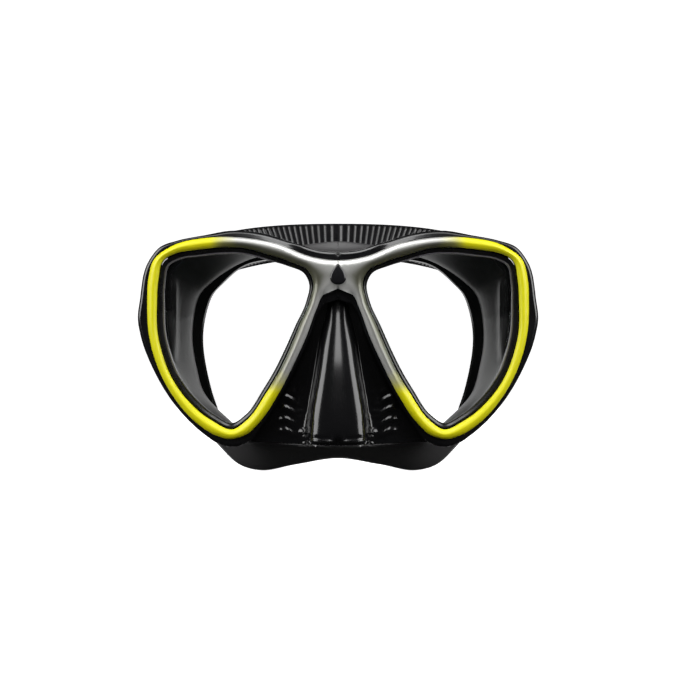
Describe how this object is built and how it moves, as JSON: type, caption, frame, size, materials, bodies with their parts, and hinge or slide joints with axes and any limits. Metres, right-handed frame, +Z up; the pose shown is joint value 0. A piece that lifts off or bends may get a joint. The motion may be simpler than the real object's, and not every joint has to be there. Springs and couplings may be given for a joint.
{
  "type": "snorkel mask",
  "caption": "Twin-lens snorkelling and diving mask with soft skirt and nose pocket, two-tone front bezel, swivel buckles and an adjustable split head strap.",
  "frame": {"origin": "under the middle of the mask and its strap, at the lowest point of the skirt", "axes": "+X to the right seen from the front (the wearer's left), the lenses face -Y, +Z up"},
  "size_m": [0.1704, 0.1496, 0.1136],
  "materials": {
    "frame_black": "gloss black moulded frame",
    "ring_black": "satin black lens retainer",
    "bezel_paint": "satin silver paint on the bridge and nose arms, turning to bright yellow round the outer sides",
    "emblem_black": "gloss black badge",
    "silicone_black": "black liquid-moulded silicone, gloss outside and satin inside",
    "lens_glass": "clear tempered glass",
    "buckle_plastic": "satin black moulded plastic",
    "steel": "stainless pins and springs"
  },
  "bodies": {
    "mask": {"main_frame": "frame_black", "front_bezel": "bezel_paint", "bridge_emblem": "emblem_black", "skirt": "silicone_black", "right_lens": "lens_glass", "right_lens_retainer": "ring_black", "right_buckle_bracket": "buckle_plastic", "right_swivel_pin": "steel", "left_lens": "lens_glass", "left_lens_retainer": "ring_black", "left_buckle_bracket": "buckle_plastic", "left_swivel_pin": "steel"},
    "strap_loop": {"strap": "silicone_black", "right_strap_keeper": "silicone_black", "left_strap_keeper": "silicone_black"},
    "right_buckle": {"right_buckle_body": "buckle_plastic", "right_roller_pin": "steel", "right_lever_pin": "steel", "right_lever_spring": "steel", "right_strap_turn": "silicone_black"},
    "right_roller": {"right_roller": "buckle_plastic"},
    "right_lever": {"right_release_lever": "buckle_plastic"},
    "right_tail": {"right_strap_tail": "silicone_black"},
    "left_buckle": {"left_buckle_body": "buckle_plastic", "left_roller_pin": "steel", "left_lever_pin": "steel", "left_lever_spring": "steel", "left_strap_turn": "silicone_black"},
    "left_roller": {"left_roller": "buckle_plastic"},
    "left_lever": {"left_release_lever": "buckle_plastic"},
    "left_tail": {"left_strap_tail": "silicone_black"}
  },
  "joints": [
    {"name": "right_buckle_swivel", "type": "hinge", "parent": "mask", "child": "right_buckle", "pos_m": [0.0775, -0.0428, 0.066], "axis": [1, 0, 0], "range_deg": [-35, 25]},
    {"name": "left_buckle_swivel", "type": "hinge", "parent": "mask", "child": "left_buckle", "pos_m": [-0.0775, -0.0428, 0.066], "axis": [1, 0, 0], "range_deg": [-35, 25]},
    {"name": "strap_adjust", "type": "slide", "parent": "right_buckle", "child": "strap_loop", "axis": [0, 0.9426, 0.3338], "range_m": [-0.005, 0.005]},
    {"name": "right_tail_slide", "type": "slide", "parent": "right_buckle", "child": "right_tail", "axis": [0, 0.9426, 0.3338], "range_m": [-0.005, 0.005]},
    {"name": "right_roller_turn", "type": "hinge", "parent": "right_buckle", "child": "right_roller", "pos_m": [0.0775, -0.03055, 0.07034], "axis": [0, -0.3338, 0.9426], "range_deg": [-135, 135]},
    {"name": "right_lever_open", "type": "hinge", "parent": "right_buckle", "child": "right_lever", "pos_m": [0.0832, -0.03451, 0.06894], "axis": [0, 0.3338, -0.9426], "range_deg": [0, 30], "stiffness_Nm_per_rad": 0.02, "springref_deg": -17.19},
    {"name": "left_tail_slide", "type": "slide", "parent": "left_buckle", "child": "left_tail", "axis": [0, 0.9426, 0.3338], "range_m": [-0.005, 0.005]},
    {"name": "left_roller_turn", "type": "hinge", "parent": "left_buckle", "child": "left_roller", "pos_m": [-0.0775, -0.03055, 0.07034], "axis": [0, -0.3338, 0.9426], "range_deg": [-135, 135]},
    {"name": "left_lever_open", "type": "hinge", "parent": "left_buckle", "child": "left_lever", "pos_m": [-0.0832, -0.03451, 0.06894], "axis": [0, -0.3338, 0.9426], "range_deg": [0, 30], "stiffness_Nm_per_rad": 0.02, "springref_deg": -17.19}
  ],
  "couplings": [
    {"joint": "left_buckle_swivel", "follows": "right_buckle_swivel", "ratio": 1},
    {"joint": "right_tail_slide", "follows": "strap_adjust", "ratio": -1},
    {"joint": "right_roller_turn", "follows": "strap_adjust", "rad_per_m": -384.62},
    {"joint": "left_tail_slide", "follows": "strap_adjust", "ratio": -1},
    {"joint": "left_roller_turn", "follows": "strap_adjust", "rad_per_m": 384.62}
  ]
}
